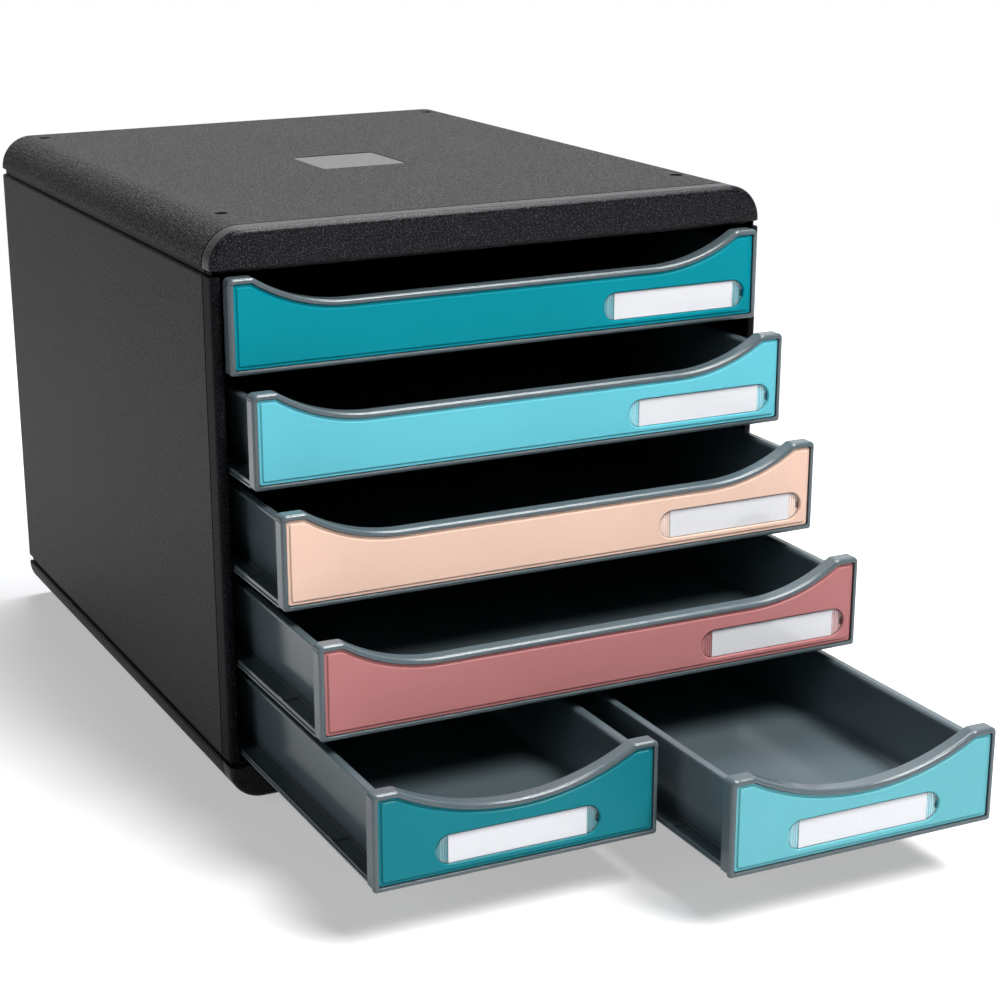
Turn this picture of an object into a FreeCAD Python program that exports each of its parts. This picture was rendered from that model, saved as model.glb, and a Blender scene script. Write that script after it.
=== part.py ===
import FreeCAD, Part
import math
import os
from FreeCAD import Vector

# Desktop mini drawers: a rounded case holding four full width trays above two half width trays.
# Lengths are millimetres. X runs to the right, Y to the back, Z up, and the feet stand on Z zero.
# While pieces are built, Y zero is the case front. At the end everything moves so that the origin
# is below the middle of the whole object as it stands with its drawers pulled out.

# Case
case_width = 278.0
case_depth = 347.0
case_height = 271.0
foot_height = 4.6
wall = 2.8
top_corner_radius = 17.0
base_corner_radius = 16.0
top_cover_height = 17.6
top_joint_height = 2.7
base_cover_height = 17.0
base_joint_height = 2.8

# Front ring: fascia, posts and base strip, parted from the shells by a narrow seam
front_ring_depth = 10.6
seam_width = 0.9
front_edge_radius = 2.6
post_width = 4.6
post_tongue_front = 3.0
inner_edge_radius = 0.5
bar_thickness = 2.0
lip_thickness = 1.2
lip_length = 4.5
lip_clearance = 0.15
drop_lip_height = 1.5
drop_lip_thickness = 1.6
drop_lip_setback = 3.4

# Tongues that line the seams between the side panels and the shells
tongue_recess = 1.6
tongue_length = 2.6
tongue_root = 3.0
edge_bevel = 0.8

# Back panel
back_thickness = 2.4
back_inset = 1.2
back_clearance = 0.2
back_field_margin = 14.0
back_field_depth = 0.6
back_field_corner = 6.0

# Stacking sockets in the top and feet below, on one pattern
socket_side_inset = 21.2
socket_front_inset = 43.0
socket_rear_inset = 14.9
socket_radius = 3.0
socket_boss_radius = 5.0
socket_length = 8.4
foot_radius = 9.5
foot_tread_radius = 8.0
foot_stem_radius = 3.2
foot_hole_radius = 3.4
foot_stem_rise = 1.2
foot_cap_radius = 4.4
foot_cap_height = 1.4

# Badge plate let into the top
badge_size = 45.0
badge_corner = 1.2
badge_shift_x = -3.0
badge_shift_y = -5.5
badge_recess = 0.2
badge_thickness = 0.9
badge_clearance = 0.2

# How the fronts fill the opening of the case
front_side_gap = 0.7
front_top_gap = 2.6
front_base_gap = 4.0
row_gap = 2.7
column_gap = 3.8

# Full width fronts
full_flat = 11.7
full_run = 44.5
full_valley_height = 29.3
full_label_rise = 12.7
full_tray_lift = 0.1
full_tray_drop = 6.2
full_flange_thickness = 2.0
full_pulls = (6.9, 31.8, 61.8, 100.5)

# Half width fronts
mini_height = 43.2
mini_flat = 11.4
mini_valley_height = 29.2
mini_label_rise = 13.0
mini_tray_lift = 2.2
mini_tray_drop = 4.9
mini_flange_thickness = 1.1
mini_skirt_depth = 2.0
mini_skirt_height = 2.0
mini_pulls = (153.5, 204.5)

# Front frame of every drawer
frame_depth = 7.4
frame_border = 2.2
frame_pocket = 2.4
frame_web = 1.6
frame_wall = 3.0
frame_edge_radius = 1.5
frame_back_radius = 0.7
frame_bottom_corner = 1.6
frame_top_corner = 2.6
flat_end_radius = 4.0
least_radius = 0.6
cap_seam_drop = 2.6
cap_seam_width = 0.3
cap_seam_depth = 0.3

# Coloured plate in the frame
plate_recess = 0.4
plate_gap = 0.4
plate_corner = 1.2
plate_border = 1.2
plate_step = 0.55
plate_bevel = 0.5

# Label window, paper and clear cover
label_length = 76.3
label_height = 13.3
label_end_gap = 6.6
paper_end_gap = 6.05
paper_edge_gap = 0.4
paper_thickness = 0.4
window_floor = 0.5
window_bevel = 0.4
cover_thickness = 0.6
cover_gap = 0.25
cover_recess = 0.4
cover_rib = 0.35
cover_rib_pitch = 1.1
cover_rib_start_share = 0.35
cover_rib_count = 4
cover_notch_radius = 2.2

# Tray
tray_wall = 1.6
tray_wall_inset = 8.2
tray_wall_draft = 1.4
tray_floor_low = 3.4
tray_floor_thickness = 2.2
tray_corner = 3.6
tray_front_wall = 2.0
tray_front_clearance = 0.2
tray_rim_inset = 5.0
tray_rim_thickness = 1.4
tray_rim_radius = 0.9
tray_rim_inner_radius = 2.0
tray_ear_inset = 1.2
tray_ear_gap = 0.35
tray_ear_thickness = 1.2
flange_inset = 0.4
flange_foot_height = 0.9
flange_step = 0.5
flange_edge_width = 1.2
flange_edge_height = 0.9
foot_strip_width = 0.9
foot_strip_height = 0.9
flange_rib_y = 47.0
flange_rib_length = 4.0
flange_rib_height = 0.6
flange_tooth_height = 1.3
stop_tab_length = 4.0
stop_tab_width = 4.2
stop_tab_height = 2.9
closed_proud = 2.0
closed_back_gap = 0.6

# Runner channels on the side panels and on the divider between the half width trays
runner_clearance = 0.3
runner_side_clearance = 0.75
runner_ledge_thickness = 2.0
runner_ledge_reach = 6.6
runner_front_gap = 0.3
guide_clearance = 1.6
guide_thickness = 1.8
guide_reach = 4.5
guide_end_y = 96.0
divider_thickness = 2.0
divider_foot_width = 24.0
divider_foot_thickness = 2.0
divider_top_gap = 3.2

# Cuts run past the solids by this much
overrun = 1.0

# What follows from the sizes above
half_width = case_width / 2
top_edge_z = case_height - top_cover_height
panel_top_z = top_edge_z - top_joint_height
base_edge_z = foot_height + base_cover_height
panel_bottom_z = base_edge_z + base_joint_height
full_width = case_width - 2 * (post_width + front_side_gap)
full_top_z = top_edge_z - front_top_gap
mini_width = (full_width - column_gap) / 2
mini_bottom_z = base_edge_z + front_base_gap
full_pitch = (full_top_z - mini_bottom_z - mini_height) / len(full_pulls)
full_height = full_pitch - row_gap
paper_length = label_length - 2 * paper_end_gap
paper_height = label_height - 2 * paper_edge_gap
tolerance = Part.Precision.approximation()
back_y = case_depth - back_inset - back_thickness
shell_front_y = front_ring_depth + seam_width
lip_end_y = shell_front_y + lip_length
runner_front_y = lip_end_y + runner_front_gap
panel_inner_x = half_width - wall
badge_low_z = case_height - badge_recess - badge_thickness
rest_front_y = -max(full_pulls + mini_pulls)
origin_y = (case_depth + rest_front_y) / 2
tray_rear_y = back_y - closed_back_gap
tray_length = tray_rear_y + closed_proud


def block(x_low, x_high, y_low, y_high, z_low, z_high):
    return Part.makeBox(x_high - x_low, y_high - y_low, z_high - z_low, Vector(x_low, y_low, z_low))


def prism(edges, y_low, y_high):
    face = Part.Face(Part.Wire(edges))
    face.translate(Vector(0, y_low, 0))
    return face.extrude(Vector(0, y_high - y_low, 0))


def line(start, end):
    return Part.LineSegment(Vector(start[0], 0, start[1]), Vector(end[0], 0, end[1])).toShape()


def arc(centre, radius, from_angle, to_angle):
    # A stretch of circle in the front view, between two angles in radians
    middle_angle = (from_angle + to_angle) / 2
    points = []
    for angle in (from_angle, middle_angle, to_angle):
        x = centre[0] + radius * math.cos(angle)
        z = centre[1] + radius * math.sin(angle)
        points.append(Vector(x, 0, z))
    return Part.Arc(*points).toShape()


def rounded_rectangle(x_low, x_high, z_low, z_high, bottom_radius, top_radius):
    # Edges of an upright rectangle in the front view with its own radius at the bottom and the top
    quarter = math.pi / 2
    bottom_left = (x_low + bottom_radius, z_low + bottom_radius)
    edges = [
        line((x_low + bottom_radius, z_low), (x_high - bottom_radius, z_low)),
        arc((x_high - bottom_radius, z_low + bottom_radius), bottom_radius, -quarter, 0),
    ]
    if z_high - z_low > bottom_radius + top_radius + tolerance:
        edges.append(line((x_high, z_low + bottom_radius), (x_high, z_high - top_radius)))
    edges.append(arc((x_high - top_radius, z_high - top_radius), top_radius, 0, quarter))
    edges.append(line((x_high - top_radius, z_high), (x_low + top_radius, z_high)))
    edges.append(arc((x_low + top_radius, z_high - top_radius), top_radius, quarter, 2 * quarter))
    if z_high - z_low > bottom_radius + top_radius + tolerance:
        edges.append(line((x_low, z_high - top_radius), (x_low, z_low + bottom_radius)))
    edges.append(arc(bottom_left, bottom_radius, 2 * quarter, 3 * quarter))
    return edges


def case_prism(inset, y_low, y_high):
    # The rounded body of the case, drawn in by an inset all round
    edges = rounded_rectangle(
        -half_width + inset, half_width - inset,
        foot_height + inset, case_height - inset,
        base_corner_radius - inset, top_corner_radius - inset,
    )
    return prism(edges, y_low, y_high)


def slab(z_low, z_high):
    # A level slice of all the space that the case takes
    reach = half_width + overrun
    return block(-reach, reach, -overrun, case_depth + overrun, z_low, z_high)


def front_edges(solid, y_value):
    # The edges that lie in one upright plane across the object
    found = []
    for edge in solid.Edges:
        box = edge.BoundBox
        if max(abs(box.YMin - y_value), abs(box.YMax - y_value)) < tolerance:
            found.append(edge)
    return found


def both_sides(solid):
    # A solid and its mirror image across the middle of the case
    return solid, solid.mirror(Vector(0, 0, 0), Vector(1, 0, 0))


# The four places of the sockets, and of the feet below them
def socket_places():
    places = []
    for x in (socket_side_inset - half_width, half_width - socket_side_inset):
        for y in (socket_front_inset, case_depth - socket_rear_inset):
            places.append((x, y))
    return places


# Case pieces
def bevel_cutter(z_edge, direction):
    # Takes the sharp corner off a long outer edge of the left side; direction is where the solid lies
    corner = [
        (-half_width - overrun, z_edge + direction * (edge_bevel + overrun)),
        (-half_width - overrun, z_edge - direction * overrun),
        (-half_width + edge_bevel + overrun, z_edge - direction * overrun),
    ]
    edges = [line(corner[0], corner[1]), line(corner[1], corner[2]), line(corner[2], corner[0])]
    return prism(edges, -overrun, case_depth + overrun)


def bevel(solid, z_edge, direction):
    for cutter in both_sides(bevel_cutter(z_edge, direction)):
        solid = solid.cut(cutter)
    return solid


def shell(y_low, y_high):
    return case_prism(0, y_low, y_high).cut(case_prism(wall, y_low - overrun, y_high + overrun))


def tongue_space(z_low, z_high):
    # Room inside the shells for the tongues of the side panels
    reach = half_width - tongue_recess + lip_clearance
    return block(-reach, reach, -overrun, case_depth + overrun, z_low, z_high)


def badge_block(grow, z_low, z_high):
    half = badge_size / 2 + grow
    centre_y = case_depth / 2 + badge_shift_y
    plate = block(
        badge_shift_x - half, badge_shift_x + half,
        centre_y - half, centre_y + half, z_low, z_high,
    )
    upright = []
    for edge in plate.Edges:
        if edge.BoundBox.XLength + edge.BoundBox.YLength < tolerance:
            upright.append(edge)
    return plate.makeFillet(badge_corner + grow, upright)


def top_shell():
    solid = shell(shell_front_y, case_depth).common(slab(top_edge_z, case_height + overrun))
    solid = solid.cut(tongue_space(top_edge_z - overrun, top_edge_z + tongue_length + lip_clearance))
    solid = bevel(solid, top_edge_z, 1)
    boss_z = case_height - socket_length
    for x, y in socket_places():
        boss = Part.makeCylinder(socket_boss_radius, socket_length - wall / 2, Vector(x, y, boss_z))
        hole = Part.makeCylinder(socket_radius, socket_length + 2 * overrun, Vector(x, y, boss_z - overrun))
        solid = solid.fuse(boss).cut(hole)
    return solid.cut(badge_block(badge_clearance, badge_low_z, case_height + overrun))


def badge_plate():
    return badge_block(0, badge_low_z, badge_low_z + badge_thickness)


def front_ring():
    # The whole rounded front, before it is cut into fascia, posts and base strip
    solid = case_prism(0, 0, front_ring_depth)
    return solid.makeFillet(front_edge_radius, front_edges(solid, 0))


def seam_lip():
    # A thin ring behind the front ring that reaches under the shells and closes the seam
    outer = wall + lip_clearance
    root_y = front_ring_depth - wall
    root = case_prism(wall / 2, root_y, front_ring_depth)
    ring = case_prism(outer, root_y, lip_end_y)
    return root.fuse(ring).cut(case_prism(outer + lip_thickness, root_y - overrun, lip_end_y + overrun))


def end_edges(solid, z_value):
    # The edges around one level end of a front piece, without the one at its back
    found = []
    for edge in solid.Edges:
        box = edge.BoundBox
        level = max(abs(box.ZMin - z_value), abs(box.ZMax - z_value)) < tolerance
        if level and box.YMin < front_ring_depth - tolerance:
            found.append(edge)
    return found


def post_tongue(grow):
    # The left post's tongue, which reaches up into the fascia and down into the base strip
    return block(
        -half_width + tongue_recess - grow, -panel_inner_x + grow,
        post_tongue_front - grow, front_ring_depth,
        base_edge_z - tongue_length - grow, top_edge_z + tongue_length + grow,
    )


def fascia_bar(z_low, z_high, edge_z, drop):
    # A front bar with a closed face, hollow from behind but for the floor that faces the drawers.
    # drop is 1 where the drawers lie above that floor, or else -1
    outline = front_ring().common(slab(z_low, z_high))
    outline = outline.makeFillet(inner_edge_radius, end_edges(outline, edge_z))
    floor_z = edge_z - drop * bar_thickness
    floor = slab(min(edge_z, floor_z), max(edge_z, floor_z))
    hollow = case_prism(wall, wall, front_ring_depth + overrun).cut(floor)
    lip = seam_lip().common(slab(z_low, z_high)).cut(floor)
    reach = half_width - post_width
    drop_z = edge_z + drop * drop_lip_height
    drop_lip = block(
        -reach, reach, drop_lip_setback, drop_lip_setback + drop_lip_thickness,
        min(floor_z, drop_z), max(floor_z, drop_z),
    )
    bar = outline.cut(hollow).fuse(lip).fuse(drop_lip)
    for tongue in both_sides(post_tongue(lip_clearance)):
        bar = bar.cut(tongue)
    return bar.removeSplitter()


def top_fascia():
    return fascia_bar(top_edge_z, case_height + overrun, top_edge_z, -1)


def base_fascia():
    return fascia_bar(foot_height - overrun, base_edge_z, base_edge_z, 1)


def front_post():
    # The left post, with its tongue and a lip that reaches behind the side panel
    outer_x = -half_width - overrun
    inner_x = -half_width + post_width
    post_space = block(outer_x, inner_x, -overrun, case_depth, panel_bottom_z, panel_top_z)
    post = front_ring().common(post_space)
    rounded = end_edges(post, panel_top_z) + end_edges(post, panel_bottom_z)
    for edge in post.Edges:
        box = edge.BoundBox
        if box.YMax < tolerance and box.XMin > inner_x - tolerance and box.ZLength > post_width:
            rounded.append(edge)
    post = post.makeFillet(inner_edge_radius, rounded)
    lip_x = -panel_inner_x + lip_clearance
    lip_y = front_ring_depth - wall
    lip = block(lip_x, lip_x + lip_thickness, lip_y, lip_end_y, panel_bottom_z, panel_top_z)
    return post.fuse(lip).fuse(post_tongue(0)).removeSplitter()


def side_panel():
    # The left side panel with a tongue along its top and its bottom
    panel = block(-half_width, -panel_inner_x, shell_front_y, case_depth, panel_bottom_z, panel_top_z)
    panel = bevel(panel, panel_top_z, -1)
    panel = bevel(panel, panel_bottom_z, 1)
    tongue_x = -half_width + tongue_recess
    y_high = case_depth - back_inset
    spans = (
        (panel_top_z - tongue_root, top_edge_z + tongue_length),
        (base_edge_z - tongue_length, panel_bottom_z + tongue_root),
    )
    for z_low, z_high in spans:
        panel = panel.fuse(block(tongue_x, -panel_inner_x, shell_front_y, y_high, z_low, z_high))
    return panel.removeSplitter()


def base_shell():
    solid = shell(shell_front_y, case_depth).common(slab(foot_height - overrun, base_edge_z))
    solid = solid.cut(tongue_space(base_edge_z - tongue_length - lip_clearance, base_edge_z + overrun))
    solid = bevel(solid, base_edge_z, -1)
    for x, y in socket_places():
        hole = Part.makeCylinder(foot_hole_radius, wall + 2 * overrun, Vector(x, y, foot_height - overrun))
        solid = solid.cut(hole)
    return solid


def back_panel():
    inset = wall + back_clearance
    rear_y = back_y + back_thickness
    panel = case_prism(inset, back_y, rear_y)
    field_inset = inset + back_field_margin
    field = prism(
        rounded_rectangle(
            -half_width + field_inset, half_width - field_inset,
            foot_height + field_inset, case_height - field_inset,
            back_field_corner, back_field_corner,
        ),
        rear_y - back_field_depth, rear_y + overrun,
    )
    return panel.cut(field)


def feet():
    solids = []
    for x, y in socket_places():
        tread = Part.makeCone(foot_tread_radius, foot_radius, foot_height, Vector(x, y, 0))
        base_top = foot_height + wall
        stem_low = foot_height / 2
        stem_length = base_top + foot_stem_rise - stem_low
        stem = Part.makeCylinder(foot_stem_radius, stem_length, Vector(x, y, stem_low))
        cap = Part.makeCone(foot_cap_radius, foot_stem_radius, foot_cap_height, Vector(x, y, base_top))
        solids.append(tread.fuse(stem).fuse(cap).removeSplitter())
    return Part.makeCompound(solids)


# Runners
def channel(wall_x, flange_x, flange_z, mirror_x):
    # A C shaped channel in the front view. wall_x is the face it is fixed to, flange_x the edge of the
    # flange that slides in it, flange_z its underside and top, and mirror_x is 1 where the tray lies to
    # the right, or else -1
    web_x = flange_x - mirror_x * runner_side_clearance
    ledge_x = flange_x + mirror_x * runner_ledge_reach
    guide_x = flange_x + mirror_x * guide_reach
    ledge_top = flange_z[0] - runner_clearance
    ledge_low = ledge_top - runner_ledge_thickness
    guide_low = flange_z[1] + guide_clearance
    guide_top = guide_low + guide_thickness
    rear_y = back_y - back_clearance
    bars = (
        (web_x, rear_y, ledge_low, guide_top),
        (ledge_x, rear_y, ledge_low, ledge_top),
        (guide_x, guide_end_y, guide_low, guide_top),
    )
    pieces = []
    for end_x, y_high, z_low, z_high in bars:
        pieces.append(block(min(wall_x, end_x), max(wall_x, end_x), runner_front_y, y_high, z_low, z_high))
    return pieces[0].fuse(pieces[1:]).removeSplitter()


def mini_flange_z():
    low = mini_bottom_z + mini_tray_lift
    return low, low + mini_flange_thickness


def full_flange_z(index):
    low = full_top_z - index * full_pitch - full_height + full_tray_lift
    return low, low + full_flange_thickness


def left_runners():
    flange_x = -full_width / 2 + flange_inset
    channels = [channel(-panel_inner_x, flange_x, mini_flange_z(), 1)]
    for index in range(len(full_pulls)):
        channels.append(channel(-panel_inner_x, flange_x, full_flange_z(index), 1))
    return Part.makeCompound(channels)


def divider():
    # A wall down the middle of the bottom bay that carries the inner flanges of both half width trays
    half = divider_thickness / 2
    floor_z = foot_height + wall
    inner_flange_x = full_width / 2 - mini_width + flange_inset
    y_high = back_y - back_clearance
    top_z = mini_bottom_z + mini_height - divider_top_gap
    solid = block(-half, half, runner_front_y, y_high, floor_z, top_z)
    foot_half = divider_foot_width / 2
    foot_top = floor_z + divider_foot_thickness
    solid = solid.fuse(block(-foot_half, foot_half, runner_front_y, y_high, floor_z, foot_top))
    right = channel(half, inner_flange_x, mini_flange_z(), 1)
    for part in both_sides(right):
        solid = solid.fuse(part)
    return solid.removeSplitter()


# Drawer pieces, each built with its front plane at Y zero and its bottom at Z zero
def front_outline(front, inset, bottom_corner, top_corner):
    # The front's outline drawn in by an inset: flats at both ends and a dip between two large arcs
    side_x = front["width"] / 2 - inset
    low_z = inset
    high_z = front["height"] - inset
    run = front["run"]
    dip = front["dip"]
    dip_radius = (run * run + dip * dip) / (2 * dip)
    centre_x = front["width"] / 2 - front["flat"] - run
    centre_z = front["height"] - dip + dip_radius
    radius = dip_radius + inset
    end_radius = max(flat_end_radius - inset, least_radius)
    end_z = high_z - end_radius
    end_x = centre_x + math.sqrt((radius + end_radius) ** 2 - (end_z - centre_z) ** 2)
    lean = math.atan2(end_z - centre_z, end_x - centre_x)
    down = -math.pi / 2
    quarter = math.pi / 2
    bottom_centre = (side_x - bottom_corner, low_z + bottom_corner)
    top_centre = (side_x - top_corner, high_z - top_corner)
    right = [
        arc(bottom_centre, bottom_corner, -quarter, 0),
        line((side_x, low_z + bottom_corner), (side_x, high_z - top_corner)),
        arc(top_centre, top_corner, 0, quarter),
        line((side_x - top_corner, high_z), (end_x, high_z)),
        arc((end_x, end_z), end_radius, quarter, math.pi + lean),
        arc((centre_x, centre_z), radius, lean, down),
    ]
    left = [edge.mirror(Vector(0, 0, 0), Vector(1, 0, 0)) for edge in right]
    edges = right + left
    edges.append(line((bottom_corner - side_x, low_z), (side_x - bottom_corner, low_z)))
    if centre_x > least_radius:
        valley_z = centre_z - radius
        edges.append(line((centre_x, valley_z), (-centre_x, valley_z)))
    return Part.__sortEdges__(edges)


def front_prism(front, inset, bottom_corner, top_corner, y_low, y_high):
    return prism(front_outline(front, inset, bottom_corner, top_corner), y_low, y_high)


def label_prism(front, inset, y_low, y_high):
    half_length = label_length / 2 - inset
    half_height = label_height / 2 - inset
    centre_x = front["label_x"]
    edges = rounded_rectangle(
        centre_x - half_length, centre_x + half_length,
        front["label_rise"] - half_height, front["label_rise"] + half_height, half_height, half_height,
    )
    return prism(edges, y_low, y_high)


def front_frame(front):
    solid = front_prism(front, 0, frame_bottom_corner, frame_top_corner, 0, frame_depth)
    solid = solid.makeFillet(frame_edge_radius, front_edges(solid, 0))
    solid = solid.makeFillet(frame_back_radius, front_edges(solid, frame_depth))
    pocket = front_prism(front, frame_border, plate_corner, plate_corner, -overrun, frame_pocket)
    hollow_y = frame_pocket + frame_web
    hollow = front_prism(front, frame_wall, least_radius, least_radius, hollow_y, frame_depth + overrun)
    solid = solid.cut(pocket).cut(hollow)
    if front["cap_seam"]:
        for groove in both_sides(cap_seam(front)):
            solid = solid.cut(groove)
    else:
        solid = solid.cut(skirt_room(front))
    return solid


def skirt_room(front):
    # Behind the half width fronts the frame's bottom stops short, so the front hangs over as a skirt
    reach = front["width"] / 2 + overrun
    return block(-reach, reach, mini_skirt_depth, frame_depth + overrun, -overrun, mini_skirt_height)


def cap_seam(front):
    # A shallow groove round the left side of a full width frame, below the cap along its top
    half = front["width"] / 2
    seam_z = front["height"] - cap_seam_drop
    outer = block(-half - overrun, -half + frame_border + overrun, -overrun, frame_depth + overrun,
                  seam_z - cap_seam_width, seam_z)
    inner = block(-half + cap_seam_depth, half, cap_seam_depth, frame_depth + 2 * overrun,
                  seam_z - cap_seam_width, seam_z)
    return outer.cut(inner)


def front_plate(front):
    edge_inset = frame_border + plate_gap
    field_inset = edge_inset + plate_border
    rim_y = plate_recess + plate_step
    rim = front_prism(front, edge_inset, plate_corner, plate_corner, rim_y, frame_pocket)
    field = front_prism(front, field_inset, plate_corner, plate_corner, plate_recess, frame_pocket)
    field = field.makeChamfer(plate_bevel, front_edges(field, plate_recess))
    window = label_prism(front, 0, -overrun, frame_pocket - window_floor)
    bevel_y = plate_recess + window_bevel
    flare = label_prism(front, -window_bevel, -overrun, bevel_y)
    flare = flare.makeChamfer(window_bevel, front_edges(flare, bevel_y))
    plate = rim.fuse(field).cut(window).cut(flare).cut(nail_notch(front))
    return plate.removeSplitter()


def label_paper(front):
    half_length = paper_length / 2
    half_height = paper_height / 2
    centre_x = front["label_x"]
    return block(
        centre_x - half_length, centre_x + half_length,
        frame_pocket - window_floor - paper_thickness, frame_pocket - window_floor,
        front["label_rise"] - half_height, front["label_rise"] + half_height,
    )


def nail_notch(front):
    # The half round notch for a fingernail at the right end of the window, through cover and plate
    end_x = front["label_x"] + label_length / 2
    rod = Part.makeCylinder(
        cover_notch_radius, frame_pocket + 2 * overrun,
        Vector(end_x, -overrun, front["label_rise"]), Vector(0, 1, 0),
    )
    return rod.common(label_prism(front, 0, -overrun, frame_pocket + overrun))


def label_cover(front):
    # A clear cover with fine upright ribs at both ends
    face_y = plate_recess + cover_recess
    cover = label_prism(front, cover_gap, face_y, face_y + cover_thickness)
    half_paper = paper_length / 2
    centre_x = front["label_x"]
    for side in (-1, 1):
        for index in range(cover_rib_count):
            x = centre_x + side * (half_paper + cover_rib_pitch * (index + cover_rib_start_share))
            groove = block(x - cover_rib / 2, x + cover_rib / 2, face_y + cover_thickness - cover_rib,
                           face_y + cover_thickness + overrun, 0, front["height"])
            cover = cover.cut(groove)
    return cover.cut(nail_notch(front))


def leaning_block(front, inset, y_low, y_high, z_low, z_high):
    # A long block whose sides lean in towards the tray's foot, as far inside its walls as inset says
    wall_top = front["height"] - front["tray_drop"]
    lean_share = tray_wall_draft / (wall_top - front["tray_lift"])
    top_x = front["width"] / 2 - tray_wall_inset - inset
    low_x = top_x - lean_share * (wall_top - z_low)
    high_x = top_x - lean_share * (wall_top - z_high)
    edges = [
        line((-low_x, z_low), (low_x, z_low)),
        line((low_x, z_low), (high_x, z_high)),
        line((high_x, z_high), (-high_x, z_high)),
        line((-high_x, z_high), (-low_x, z_low)),
    ]
    return prism(edges, y_low, y_high)


def tray_cavity(front, y_low, y_high, z_low):
    # The inside of the tray, rounded where the floor meets the walls and at the upright corners
    z_high = front["height"] + overrun
    inside = leaning_block(front, tray_wall, y_low, y_high, z_low, z_high)
    rounded = [edge for edge in inside.Edges if edge.BoundBox.ZMin < z_high - tray_wall]
    return inside.makeFillet(tray_corner, rounded)


def tray_rim(front, wall_top, rear_y):
    # The lip round the top of the walls
    reach = front["width"] / 2 - tray_rim_inset
    rim = block(-reach, reach, frame_depth, rear_y, wall_top - tray_rim_thickness, wall_top)
    long_edges = [
        edge for edge in rim.Edges
        if edge.BoundBox.YLength > tray_corner and edge.BoundBox.ZMin > wall_top - tolerance
    ]
    return rim.makeFillet(tray_rim_radius, long_edges)


def rim_round_cutter(front, wall_top, y_low, y_high):
    # Rounds the inner top edge of the left wall
    radius = tray_rim_inner_radius
    edge_x = tray_wall_inset + tray_wall - front["width"] / 2
    low_z = wall_top - radius
    edges = [
        line((edge_x - radius, wall_top), (edge_x - radius, wall_top + overrun)),
        line((edge_x - radius, wall_top + overrun), (edge_x + overrun, wall_top + overrun)),
        line((edge_x + overrun, wall_top + overrun), (edge_x + overrun, low_z)),
        line((edge_x + overrun, low_z), (edge_x, low_z)),
        arc((edge_x - radius, low_z), radius, 0, math.pi / 2),
    ]
    return prism(edges, y_low, y_high)


def tray(front):
    rear_y = tray_length
    low = front["tray_lift"]
    wall_top = front["height"] - front["tray_drop"]
    floor_low = low + tray_floor_low
    front_y = frame_pocket + frame_web + tray_front_clearance
    body = leaning_block(front, 0, frame_depth, rear_y, low, wall_top)
    # Skirts below the floor stay, and the space between them is open downwards
    under_y = frame_depth + tray_front_wall
    body = body.cut(leaning_block(front, tray_wall, under_y, rear_y - tray_wall, low - overrun, floor_low))
    body = body.fuse(tray_rim(front, wall_top, rear_y))
    floor_top = floor_low + tray_floor_thickness
    cavity = tray_cavity(front, front_y + tray_front_wall, rear_y - tray_wall, floor_top)
    body = body.cut(cavity)
    rounding_end_y = rear_y - tray_wall - tray_corner
    for cutter in both_sides(rim_round_cutter(front, wall_top, frame_depth, rounding_end_y)):
        body = body.cut(cutter)
    # The front wall fills the back of the frame
    inset = frame_wall + tray_front_clearance
    front_wall = front_prism(front, inset, least_radius, least_radius, front_y, frame_depth)
    body = body.fuse(front_wall.cut(cavity))
    for flange in both_sides(left_flange(front, rear_y)):
        body = body.fuse(flange)
    return body.removeSplitter()


def left_flange(front, rear_y):
    # The left bottom flange with its raised edge, foot strip, cross rib and rear stop tab, and the ear
    # that stands behind the frame
    half = front["width"] / 2
    outer_x = half - flange_inset
    step_x = outer_x - flange_step
    edge_x = step_x - flange_edge_width
    foot_x = half - tray_wall_inset - tray_wall_draft
    strip_x = foot_x + foot_strip_width
    inner_x = foot_x - tray_wall / 2
    low = front["tray_lift"]
    step_z = low + flange_foot_height
    top = low + front["flange_thickness"]
    rib_y = (flange_rib_y, flange_rib_y + flange_rib_length)
    tab_x = stop_tab_width - step_x
    tab_y = rear_y - stop_tab_length
    ear_y = frame_depth + tray_ear_gap
    ear_x = half - tray_ear_inset
    ear_top = front["height"] - front["tray_drop"] - tray_rim_thickness / 2
    pieces = [
        block(-outer_x, -inner_x, frame_depth, rear_y, low, step_z),
        block(-step_x, -inner_x, frame_depth, rear_y, low, top),
        block(-step_x, -edge_x, frame_depth, rear_y, low, top + flange_edge_height),
        block(-strip_x, -inner_x, frame_depth, rear_y, low, top + foot_strip_height),
        block(-step_x, -inner_x, *rib_y, low, top + flange_rib_height),
        block(-step_x, -edge_x, *rib_y, low, top + flange_tooth_height),
        block(-strip_x, -inner_x, *rib_y, low, top + flange_tooth_height),
        block(-step_x, tab_x, tab_y, rear_y, low, top + stop_tab_height),
        block(-ear_x, -inner_x, ear_y, ear_y + tray_ear_thickness, low, ear_top),
    ]
    return pieces[0].fuse(pieces[1:])


# Where each drawer sits
def full_front(index):
    return {
        "name": ("top_drawer", "second_drawer", "third_drawer", "fourth_drawer")[index],
        "width": full_width,
        "height": full_height,
        "flat": full_flat,
        "run": full_run,
        "dip": full_height - full_valley_height,
        "label_x": full_width / 2 - label_end_gap - label_length / 2,
        "label_rise": full_label_rise,
        "tray_lift": full_tray_lift,
        "tray_drop": full_tray_drop,
        "flange_thickness": full_flange_thickness,
        "cap_seam": True,
        "place": Vector(0, -full_pulls[index], full_top_z - index * full_pitch - full_height),
    }


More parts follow.
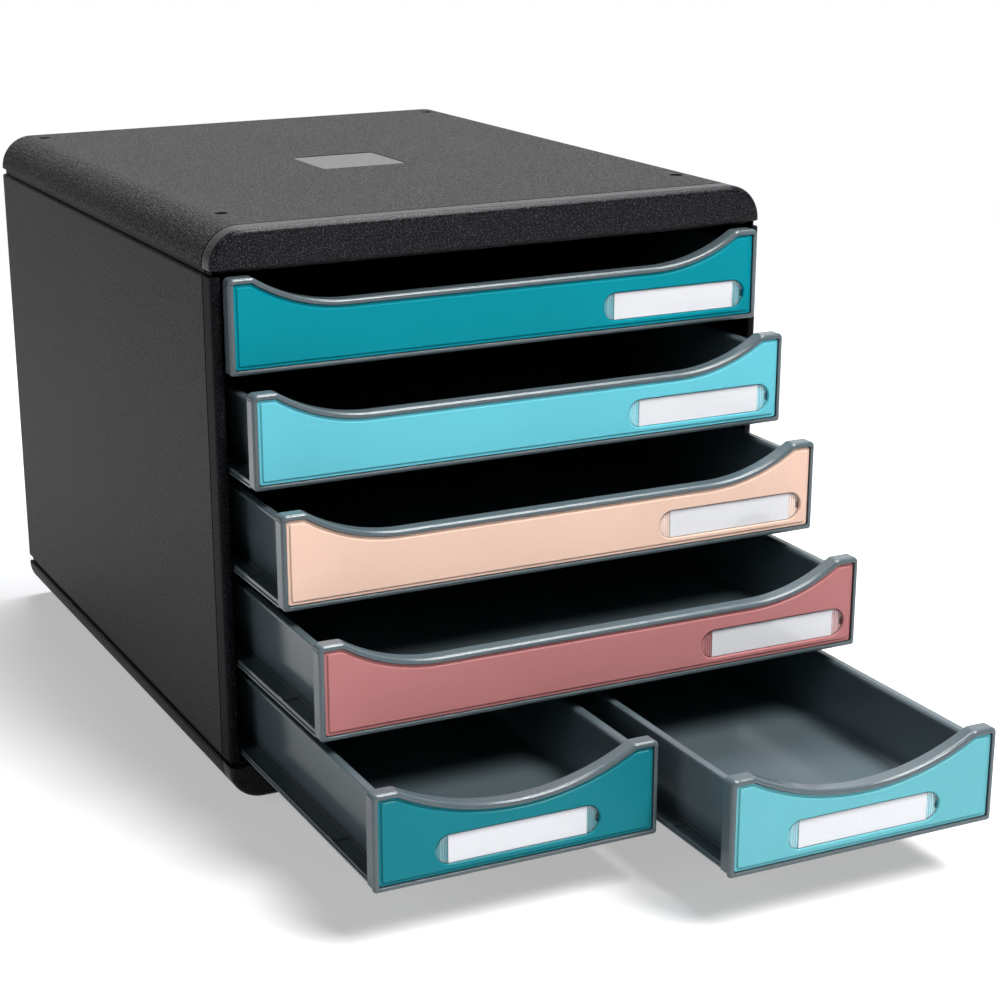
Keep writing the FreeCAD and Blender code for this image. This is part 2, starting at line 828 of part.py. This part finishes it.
def mini_front(index):
    side = (-1, 1)[index]
    centre_x = side * (full_width - mini_width) / 2
    return {
        "name": ("left_mini_drawer", "right_mini_drawer")[index],
        "width": mini_width,
        "height": mini_height,
        "flat": mini_flat,
        "run": mini_width / 2 - mini_flat,
        "dip": mini_height - mini_valley_height,
        "label_x": 0,
        "label_rise": mini_label_rise,
        "tray_lift": mini_tray_lift,
        "tray_drop": mini_tray_drop,
        "flange_thickness": mini_flange_thickness,
        "cap_seam": False,
        "place": Vector(centre_x, -mini_pulls[index], mini_bottom_z),
    }


def case_nodes():
    left_panel, right_panel = both_sides(side_panel())
    left_post, right_post = both_sides(front_post())
    left_rails, right_rails = both_sides(left_runners())
    return {
        "top_shell": top_shell(),
        "top_fascia": top_fascia(),
        "badge_plate": badge_plate(),
        "side_panel_left": left_panel,
        "side_panel_right": right_panel,
        "front_post_left": left_post,
        "front_post_right": right_post,
        "base_shell": base_shell(),
        "base_fascia": base_fascia(),
        "back_panel": back_panel(),
        "runners_left": left_rails,
        "runners_right": right_rails,
        "mini_bay_divider": divider(),
        "rubber_feet": feet(),
    }


def drawer_nodes():
    fronts = [full_front(index) for index in range(len(full_pulls))]
    fronts += [mini_front(index) for index in range(len(mini_pulls))]
    makers = {
        "tray": tray,
        "front_frame": front_frame,
        "front_plate": front_plate,
        "label_paper": label_paper,
        "label_cover": label_cover,
    }
    nodes = {}
    for front in fronts:
        for suffix, maker in makers.items():
            solid = maker(front)
            solid.translate(front["place"])
            nodes[front["name"] + "_" + suffix] = solid
    return nodes


def main():
    os.makedirs("parts", exist_ok=True)
    nodes = case_nodes()
    nodes.update(drawer_nodes())
    for name, solid in nodes.items():
        solid.translate(Vector(0, -origin_y, 0))
        solid.exportStep("parts/" + name + ".step")
        print(name, len(solid.Solids), solid.isValid(), round(solid.Volume / 1000, 1))


main()
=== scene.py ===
import math
import bpy
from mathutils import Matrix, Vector

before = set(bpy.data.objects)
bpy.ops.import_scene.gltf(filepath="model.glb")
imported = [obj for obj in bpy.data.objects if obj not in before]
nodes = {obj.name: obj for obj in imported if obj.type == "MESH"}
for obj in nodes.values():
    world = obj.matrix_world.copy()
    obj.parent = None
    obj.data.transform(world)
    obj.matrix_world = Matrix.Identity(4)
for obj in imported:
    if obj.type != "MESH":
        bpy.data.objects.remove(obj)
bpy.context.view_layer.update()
drawerNames = (
    "top_drawer", "second_drawer", "third_drawer", "fourth_drawer",
    "left_mini_drawer", "right_mini_drawer",
)

# camera, at the front left and a little above the case
cameraLook = {
    "place": (-0.45185, -0.97062, 0.43465),  # metres
    "turn": (71.4224, 0.6432, -24.7051),  # degrees
    "lens": 80.24,
    "sensor": 36.0,
    "shiftX": 0.08088,
    "shiftY": 0.07371,
    "clip": (0.05, 30.0),
}


def makeCamera(look):
    data = bpy.data.cameras.new("camera")
    data.lens = look["lens"]
    data.sensor_width = look["sensor"]
    data.shift_x = look["shiftX"]
    data.shift_y = look["shiftY"]
    data.clip_start, data.clip_end = look["clip"]
    camera = bpy.data.objects.new("camera", data)
    camera.location = look["place"]
    camera.rotation_euler = [math.radians(angle) for angle in look["turn"]]
    bpy.context.scene.collection.objects.link(camera)
    bpy.context.scene.camera = camera


makeCamera(cameraLook)
print("camera stands")

# studio: a pale floor, three soft lamps and white surroundings
studioLook = {
    "floorSize": 14.0,
    "floorColour": (0.6, 0.6, 0.61),
    "floorRoughness": 0.9,
    "floorSpecular": 0.1,
    "floorLift": 0.42,  # glow that only looking rays find, so that the floor meets the white behind it
    "fadeStart": 0.9,  # metres from the middle at which the floor starts to turn plain white
    "fadeEnd": 1.7,
    "worldColour": (0.95, 0.97, 1.0),
    "worldStrength": 0.05,
    "roomStrength": 0.08,  # what mirrored rays find beside and above the white backdrop
    "backdropSide": (0.46, 0.88, 0.1),  # the backdrop's middle, seen from the object
    "backdropReach": (0.55, 0.9),  # cosines off that middle at which it has faded out, and is full
    "frontFade": (-0.3, 0.1),  # the floor's lift fades out in front of the object for mirrored rays
    "lamps": (
        # name, place, aim, width, height, watts, colour
        ("keyLamp", (0.7, -1.35, 2.1), (0.0, -0.15, 0.1), 1.0, 1.0, 82, (1.0, 0.99, 0.97)),
        ("leftLamp", (-2.1, -0.6, 1.0), (0.0, -0.1, 0.1), 1.0, 1.0, 7, (0.97, 0.98, 1.0)),
        ("rimLamp", (0.5, 0.45, 1.8), (0.0, -0.1, 0.2), 1.4, 0.35, 40, (0.97, 0.98, 1.0)),
    ),
}


def link(tree, source, target):
    tree.links.new(source, target)


def addNode(tree, kind, values=None, **settings):
    node = tree.nodes.new(kind)
    for name, value in settings.items():
        setattr(node, name, value)
    for socket, value in (values or {}).items():
        node.inputs[socket].default_value = value
    return node


def blankMaterial(name):
    material = bpy.data.materials.new(name)
    material.use_nodes = True
    material.node_tree.nodes.clear()
    return material, material.node_tree


def higher(tree, first, second):
    node = addNode(tree, "ShaderNodeMath", operation="MAXIMUM")
    link(tree, first, node.inputs[0])
    link(tree, second, node.inputs[1])
    return node.outputs[0]


def anyRay(tree, *kinds):
    # one for a ray of any of these kinds
    paths = addNode(tree, "ShaderNodeLightPath")
    found = paths.outputs[kinds[0]]
    for kind in kinds[1:]:
        found = higher(tree, found, paths.outputs[kind])
    return found


def makeFloor(look):
    half = look["floorSize"] / 2
    mesh = bpy.data.meshes.new("studioFloor")
    corners = [(-half, -half, 0), (half, -half, 0), (half, half, 0), (-half, half, 0)]
    mesh.from_pydata(corners, [], [(0, 1, 2, 3)])
    floor = bpy.data.objects.new("studioFloor", mesh)
    bpy.context.scene.collection.objects.link(floor)
    material, tree = blankMaterial("palePaperFloor")
    paper = addNode(tree, "ShaderNodeBsdfPrincipled", {
        "Base Color": (*look["floorColour"], 1),
        "Roughness": look["floorRoughness"],
        "Specular IOR Level": look["floorSpecular"],
    })
    glow = addNode(tree, "ShaderNodeEmission", {"Color": (1, 1, 1, 1), "Strength": look["floorLift"]})
    white = addNode(tree, "ShaderNodeEmission", {"Color": (1, 1, 1, 1), "Strength": 1.0})
    place = addNode(tree, "ShaderNodeTexCoord")
    reach = addNode(tree, "ShaderNodeVectorMath", operation="LENGTH")
    fade = addNode(tree, "ShaderNodeMapRange", {"From Min": look["fadeStart"], "From Max": look["fadeEnd"]},
                   interpolation_type="SMOOTHSTEP")
    axes = addNode(tree, "ShaderNodeSeparateXYZ")
    front, back = look["frontFade"]
    behind = addNode(tree, "ShaderNodeMapRange", {"From Min": front, "From Max": back})
    share = addNode(tree, "ShaderNodeMath", operation="MULTIPLY")
    near = addNode(tree, "ShaderNodeAddShader")
    far = addNode(tree, "ShaderNodeMixShader")
    pick = addNode(tree, "ShaderNodeMixShader")
    output = addNode(tree, "ShaderNodeOutputMaterial")
    # the glow is seen from anywhere by the eye, and by mirrored rays only behind the object's front
    link(tree, place.outputs["Object"], axes.inputs[0])
    link(tree, axes.outputs["Y"], behind.inputs["Value"])
    link(tree, higher(tree, behind.outputs[0], anyRay(tree, "Is Camera Ray")), share.inputs[0])
    link(tree, anyRay(tree, "Is Camera Ray", "Is Glossy Ray", "Is Transmission Ray"), share.inputs[1])
    link(tree, place.outputs["Object"], reach.inputs[0])
    link(tree, reach.outputs["Value"], fade.inputs["Value"])
    link(tree, paper.outputs[0], near.inputs[0])
    link(tree, glow.outputs[0], near.inputs[1])
    link(tree, fade.outputs[0], far.inputs[0])
    link(tree, near.outputs[0], far.inputs[1])
    link(tree, white.outputs[0], far.inputs[2])
    link(tree, share.outputs[0], pick.inputs[0])
    link(tree, paper.outputs[0], pick.inputs[1])
    link(tree, far.outputs[0], pick.inputs[2])
    link(tree, pick.outputs[0], output.inputs["Surface"])
    mesh.materials.append(material)


def makeWorld(look):
    world = bpy.data.worlds.new("studioWorld")
    bpy.context.scene.world = world
    world.use_nodes = True
    tree = world.node_tree
    tree.nodes.clear()
    room = addNode(tree, "ShaderNodeBackground", {
        "Color": (*look["worldColour"], 1), "Strength": look["worldStrength"],
    })
    seen = addNode(tree, "ShaderNodeBackground", {"Color": (1, 1, 1, 1), "Strength": 1.0})
    mirrored = addNode(tree, "ShaderNodeBackground", {"Color": (1, 1, 1, 1)})
    # mirrored rays find the white backdrop behind the object and a dim room round it
    place = addNode(tree, "ShaderNodeTexCoord")
    aim = addNode(tree, "ShaderNodeVectorMath", {1: look["backdropSide"]}, operation="DOT_PRODUCT")
    fade = addNode(tree, "ShaderNodeMapRange", {
        "From Min": look["backdropReach"][0], "From Max": look["backdropReach"][1],
        "To Min": look["roomStrength"], "To Max": 1.0,
    }, interpolation_type="SMOOTHSTEP")
    lower = addNode(tree, "ShaderNodeMixShader")
    pick = addNode(tree, "ShaderNodeMixShader")
    output = addNode(tree, "ShaderNodeOutputWorld")
    link(tree, place.outputs["Generated"], aim.inputs[0])
    link(tree, aim.outputs["Value"], fade.inputs["Value"])
    link(tree, fade.outputs[0], mirrored.inputs["Strength"])
    link(tree, anyRay(tree, "Is Glossy Ray", "Is Transmission Ray"), lower.inputs[0])
    link(tree, room.outputs[0], lower.inputs[1])
    link(tree, mirrored.outputs[0], lower.inputs[2])
    link(tree, anyRay(tree, "Is Camera Ray"), pick.inputs[0])
    link(tree, lower.outputs[0], pick.inputs[1])
    link(tree, seen.outputs[0], pick.inputs[2])
    link(tree, pick.outputs[0], output.inputs["Surface"])


def makeLamps(look):
    for name, place, aim, width, height, watts, colour in look["lamps"]:
        data = bpy.data.lights.new(name, "AREA")
        data.shape = "RECTANGLE"
        data.size = width
        data.size_y = height
        data.energy = watts
        data.color = colour
        lamp = bpy.data.objects.new(name, data)
        lamp.location = place
        direction = [a - b for a, b in zip(aim, place)]
        lamp.rotation_mode = "QUATERNION"
        lamp.rotation_quaternion = Vector(direction).to_track_quat("-Z", "Y")
        bpy.context.scene.collection.objects.link(lamp)


makeFloor(studioLook)
makeWorld(studioLook)
makeLamps(studioLook)
bpy.context.scene.view_settings.view_transform = "Standard"
print("studio lit")


# moulded plastic, the base of every finish but the clear cover
mouldLook = {  # what those finishes share
    "ior": 1.5,
    "driftNoise": {"Detail": 3.0, "Roughness": 0.55},
    "gritNoise": {"Detail": 4.0, "Roughness": 0.6},
    "ridgeNoise": {"Detail": 1.0, "Roughness": 0.5},
    "driftRange": (0.3, 0.7),
    "speckRange": (0.45, 0.75),
    "edgeRange": (0.995, 0.75),  # cosines between a face and its rounded edge
    "glossRange": (0.3, 0.7),
    "probes": 4,  # rays by which the edge and seam nodes feel their way
}


def mixColour(tree, share, below, above):
    # share, below and above are sockets, or a fixed colour for the last two
    mix = addNode(tree, "ShaderNodeMix", data_type="RGBA")
    link(tree, share, mix.inputs[0])
    for slot, value in ((6, below), (7, above)):
        if isinstance(value, tuple):
            mix.inputs[slot].default_value = (*value, 1)
        else:
            link(tree, value, mix.inputs[slot])
    return mix.outputs[2]


def remap(tree, value, low, high, toLow=0.0, toHigh=1.0):
    ramp = addNode(tree, "ShaderNodeMapRange", {
        "From Min": low, "From Max": high, "To Min": toLow, "To Max": toHigh,
    })
    link(tree, value, ramp.inputs["Value"])
    return ramp.outputs[0]


def bump(tree, height, normal, strength, depth):
    node = addNode(tree, "ShaderNodeBump", {"Strength": strength, "Distance": depth})
    link(tree, height, node.inputs["Height"])
    link(tree, normal, node.inputs["Normal"])
    return node.outputs[0]


def mouldedPlastic(name, look):
    material, tree = blankMaterial(name)
    shared = mouldLook
    shader = addNode(tree, "ShaderNodeBsdfPrincipled", {
        "Specular IOR Level": look["specular"],
        "Metallic": look.get("metallic", 0.0),
        "IOR": shared["ior"],
    })
    output = addNode(tree, "ShaderNodeOutputMaterial")
    link(tree, shader.outputs[0], output.inputs["Surface"])
    place = addNode(tree, "ShaderNodeTexCoord")
    stretch = addNode(tree, "ShaderNodeMapping", {"Scale": look.get("stretch", (1, 1, 1))})
    link(tree, place.outputs["Object"], stretch.inputs["Vector"])
    # slow drift of tone over the whole piece, the pebbled grain of the mould and fine grit on it
    drift = addNode(tree, "ShaderNodeTexNoise", {"Scale": look["driftScale"], **shared["driftNoise"]})
    pebbles = addNode(tree, "ShaderNodeTexVoronoi", {"Scale": look["pebbleScale"], "Randomness": 1.0})
    grit = addNode(tree, "ShaderNodeTexNoise", {"Scale": look["gritScale"], **shared["gritNoise"]})
    ridges = addNode(tree, "ShaderNodeTexNoise", {"Scale": look["ridgeScale"], **shared["ridgeNoise"]})
    for texture in (drift, pebbles, grit, ridges):
        link(tree, stretch.outputs[0], texture.inputs["Vector"])
    tone = remap(tree, drift.outputs["Fac"], *shared["driftRange"])
    colour = mixColour(tree, tone, look["darker"], look["lighter"])
    speck = remap(tree, grit.outputs["Fac"], *shared["speckRange"], 0.0, look["speckShare"])
    colour = mixColour(tree, speck, colour, look["speck"])
    # painted glints: ridges of the grain made lighter in colour, as if they caught the light
    paintedGlint = remap(tree, ridges.outputs["Fac"], *look["paintedGlintRange"], 0.0, look["paintedGlintShare"])
    colour = mixColour(tree, paintedGlint, colour, look["paintedGlint"])
    # painted light and shade on the edges: a paler painted highlight on the drawers, darker painted shade on
    # the case
    bevel = addNode(tree, "ShaderNodeBevel", {"Radius": look["edgeRadius"]}, samples=shared["probes"])
    face = addNode(tree, "ShaderNodeNewGeometry")
    turn = addNode(tree, "ShaderNodeVectorMath", operation="DOT_PRODUCT")
    link(tree, bevel.outputs[0], turn.inputs[0])
    link(tree, face.outputs["Normal"], turn.inputs[1])
    edge = remap(tree, turn.outputs["Value"], *shared["edgeRange"], 0.0, look["edgeShare"])
    colour = mixColour(tree, edge, colour, look["edge"])
    # painted shade: darker in the seams and hollows that the occlusion node finds
    hollow = addNode(tree, "ShaderNodeAmbientOcclusion", {"Distance": look["seamReach"]},
                     samples=shared["probes"], only_local=look.get("ownSeamsOnly", False))
    seam = remap(tree, hollow.outputs["AO"], *look["seamFade"], 0.0, look["seamShare"])
    link(tree, mixColour(tree, seam, colour, look["seam"]), shader.inputs["Base Color"])
    # gloss and bumps that change with the grain, and no gloss in the seams
    gloss = remap(tree, grit.outputs["Fac"], *shared["glossRange"], *look["roughness"])
    link(tree, higher(tree, gloss, seam), shader.inputs["Roughness"])
    coarse = bump(tree, pebbles.outputs["Distance"], bevel.outputs[0],
                  look["pebbleStrength"], look["pebbleDepth"])
    fine = bump(tree, grit.outputs["Fac"], coarse, look["gritStrength"], look["gritDepth"])
    link(tree, fine, shader.inputs["Normal"])
    return material


def dress(material, names):
    for name in names:
        mesh = nodes[name].data
        mesh.materials.clear()
        mesh.materials.append(material)


# case
sideLook = {
    # the glint colour is painted glints, the dark edge colour painted shade along the edges, and the seam
    # colour painted shade in the seams
    "darker": (0.007, 0.007, 0.0072), "lighter": (0.011, 0.011, 0.0112), "speck": (0.025, 0.025, 0.026),
    "paintedGlint": (0.06, 0.06, 0.061), "edge": (0.0015, 0.0015, 0.0016),
    "paintedGlintRange": (0.53, 0.67), "speckShare": 0.5, "paintedGlintShare": 0.7, "edgeShare": 0.9, "edgeRadius": 0.0015,
    "driftScale": 14.0, "pebbleScale": 900.0, "ridgeScale": 900.0, "gritScale": 2600.0,
    "roughness": (0.44, 0.6), "specular": 0.09,
    "seam": (0.0005, 0.0005, 0.0006), "seamReach": 0.003, "seamFade": (0.85, 0.5), "seamShare": 1.0,
    "pebbleStrength": 0.5, "pebbleDepth": 0.0003, "gritStrength": 0.35, "gritDepth": 0.00015,
}
topLook = dict(
    sideLook, paintedGlint=(0.108, 0.105, 0.11), paintedGlintRange=(0.49, 0.71), paintedGlintShare=1.0,
    pebbleScale=760.0, ridgeScale=1200.0, pebbleStrength=0.9, specular=0.035, roughness=(0.4, 0.55),
)
frontLook = dict(
    sideLook, darker=(0.0015, 0.0015, 0.0024), lighter=(0.003, 0.003, 0.0042), speck=(0.006, 0.006, 0.008),
    paintedGlint=(0.052, 0.052, 0.063), paintedGlintRange=(0.55, 0.66), paintedGlintShare=1.0, edgeShare=0.0,
    pebbleScale=1500.0, pebbleStrength=0.1, ridgeScale=1500.0, gritStrength=0.12,
    specular=0.18, roughness=(0.26, 0.38),
)
postLook = dict(
    frontLook, paintedGlint=(0.03, 0.03, 0.036), edgeShare=0.9, ridgeScale=1900.0,
    specular=0.05, roughness=(0.5, 0.65),
)
insideLook = dict(
    sideLook, darker=(0.003, 0.003, 0.0033), lighter=(0.005, 0.005, 0.0055), speck=(0.008, 0.008, 0.008),
    paintedGlintShare=0.02, pebbleStrength=0.15, specular=0.15, roughness=(0.5, 0.65),
)
rubberLook = dict(
    sideLook, darker=(0.010, 0.010, 0.010), lighter=(0.016, 0.016, 0.016),
    paintedGlintShare=0.1, pebbleStrength=0.3, specular=0.2, roughness=(0.75, 0.9),
)
badgeLook = dict(
    sideLook, darker=(0.09, 0.09, 0.092), lighter=(0.12, 0.12, 0.122), speck=(0.17, 0.17, 0.173),
    # the glint colour is painted glints, and the pale edge colour a painted highlight along the edges
    paintedGlint=(0.21, 0.21, 0.21), paintedGlintShare=0.4, edge=(0.3, 0.3, 0.3),
    stretch=(0.12, 1.0, 1.0),  # brushed along X
    pebbleStrength=0.1, ridgeScale=1400.0, gritScale=3200.0,
    metallic=0.7, specular=0.4, roughness=(0.32, 0.46),
)

dress(mouldedPlastic("sandedSidePlastic", sideLook), ("side_panel_left", "side_panel_right", "base_shell"))
dress(mouldedPlastic("pebbledTopPlastic", topLook), ("top_shell",))
dress(mouldedPlastic("sparklingFrontPlastic", frontLook), ("top_fascia", "base_fascia"))
dress(mouldedPlastic("darkPostPlastic", postLook), ("front_post_left", "front_post_right"))
dress(mouldedPlastic("plainInsidePlastic", insideLook),
      ("back_panel", "runners_left", "runners_right", "mini_bay_divider"))
dress(mouldedPlastic("mattFootRubber", rubberLook), ("rubber_feet",))
dress(mouldedPlastic("satinBadgeMetal", badgeLook), ("badge_plate",))
print("case dressed")

# trays and front frames
trayLook = {
    # the glint colour is painted glints, the pale edge colour a painted highlight along the edges, and the
    # seam colour painted shade in the seams
    "darker": (0.073, 0.099, 0.112), "lighter": (0.088, 0.118, 0.133), "speck": (0.12, 0.155, 0.172),
    "paintedGlint": (0.2, 0.22, 0.23), "edge": (0.2, 0.235, 0.245),
    "paintedGlintRange": (0.48, 0.72), "speckShare": 0.3, "paintedGlintShare": 0.1, "edgeShare": 0.7, "edgeRadius": 0.00045,
    "driftScale": 9.0, "pebbleScale": 1100.0, "ridgeScale": 900.0, "gritScale": 3800.0,
    "roughness": (0.11, 0.2), "specular": 0.5,
    "seam": (0.004, 0.005, 0.006), "seamReach": 0.0015, "seamFade": (0.6, 0.2), "seamShare": 0.9,
    "pebbleStrength": 0.03, "pebbleDepth": 0.0002, "gritStrength": 0.08, "gritDepth": 0.0001,
}
trayPlastic = mouldedPlastic("smokeTrayPlastic", trayLook)
dress(trayPlastic, [name + "_tray" for name in drawerNames])
dress(trayPlastic, [name + "_front_frame" for name in drawerNames])
print("trays dressed")

# coloured plates
plateLook = {
    "seamReach": 0.0012, "seamFade": (0.85, 0.5), "seamShare": 0.9, "ownSeamsOnly": True,
    "specular": 0.07, "roughness": (0.24, 0.34),
    "paintedGlintRange": (0.48, 0.72), "speckShare": 0.25, "paintedGlintShare": 0.1, "edgeShare": 0.5, "edgeRadius": 0.0003,
    "driftScale": 11.0, "pebbleScale": 1300.0, "ridgeScale": 1000.0, "gritScale": 4200.0,
    "pebbleStrength": 0.1, "pebbleDepth": 0.0002, "gritStrength": 0.15, "gritDepth": 0.0001,
    # the last three tones are painted light: brighter for the painted glints and the painted edge highlight,
    # near black for the painted seam shade
    "tones": {"darker": 0.95, "lighter": 1.04, "speck": 1.15, "paintedGlint": 1.2, "edge": 1.3, "seam": 0.05},
    "colours": {
        "top_drawer": ("tealPlate", (0.0, 0.25, 0.32)),
        "second_drawer": ("turquoisePlate", (0.132, 0.54, 0.65)),
        "third_drawer": ("peachPlate", (0.82, 0.57, 0.463)),
        "fourth_drawer": ("rosePlate", (0.47, 0.185, 0.188)),
        "left_mini_drawer": ("petrolPlate", (0.01, 0.198, 0.243)),
        "right_mini_drawer": ("skyPlate", (0.137, 0.457, 0.522)),
    },
}


def tinted(colour, factor):
    return tuple(min(1.0, part * factor) for part in colour)


for drawerName, (materialName, colour) in plateLook["colours"].items():
    tones = {tone: tinted(colour, factor) for tone, factor in plateLook["tones"].items()}
    dress(mouldedPlastic(materialName, dict(plateLook, **tones)), (drawerName + "_front_plate",))
print("plates coloured")

# labels: paper in the window, and a clear cover over it
paperLook = {
    "seam": (0.5, 0.5, 0.5), "seamReach": 0.0001, "seamFade": (0.1, 0.0), "seamShare": 0.0,
    "darker": (0.722, 0.722, 0.753), "lighter": (0.745, 0.745, 0.775), "speck": (0.9, 0.9, 0.92),
    # the glint colour is painted glints
    "edge": (0.9, 0.9, 0.9), "paintedGlint": (0.9, 0.9, 0.92),
    "paintedGlintRange": (0.48, 0.72), "speckShare": 0.2, "paintedGlintShare": 0.1,
    "edgeShare": 0.0, "edgeRadius": 0.0001, "driftScale": 40.0, "pebbleScale": 900.0, "ridgeScale": 800.0,
    "gritScale": 2500.0, "stretch": (0.4, 1.0, 1.0), "roughness": (0.85, 0.95), "specular": 0.2,
    "pebbleStrength": 0.05, "pebbleDepth": 0.0001, "gritStrength": 0.3, "gritDepth": 0.0001,
}
coverLook = {
    "tint": (0.985, 0.99, 0.995), "roughness": (0.02, 0.08), "ior": 1.49,
    "scuffNoise": {"Scale": 700.0, "Detail": 3.0},
}


def clearPlastic(name, look):
    material, tree = blankMaterial(name)
    shader = addNode(tree, "ShaderNodeBsdfPrincipled", {
        "Base Color": (*look["tint"], 1), "Transmission Weight": 1.0, "IOR": look["ior"],
    })
    place = addNode(tree, "ShaderNodeTexCoord")
    scuffs = addNode(tree, "ShaderNodeTexNoise", look["scuffNoise"])
    # light passes straight through to the paper, so that no caustics are needed
    through = addNode(tree, "ShaderNodeBsdfTransparent", {"Color": (*look["tint"], 1)})
    pick = addNode(tree, "ShaderNodeMixShader")
    output = addNode(tree, "ShaderNodeOutputMaterial")
    link(tree, place.outputs["Object"], scuffs.inputs["Vector"])
    link(tree, remap(tree, scuffs.outputs["Fac"], 0.0, 1.0, *look["roughness"]), shader.inputs["Roughness"])
    link(tree, anyRay(tree, "Is Shadow Ray", "Is Diffuse Ray"), pick.inputs[0])
    link(tree, shader.outputs[0], pick.inputs[1])
    link(tree, through.outputs[0], pick.inputs[2])
    link(tree, pick.outputs[0], output.inputs["Surface"])
    return material


dress(mouldedPlastic("labelPaperStock", paperLook), [name + "_label_paper" for name in drawerNames])
dress(clearPlastic("clearLabelCover", coverLook), [name + "_label_cover" for name in drawerNames])
print("labels made")
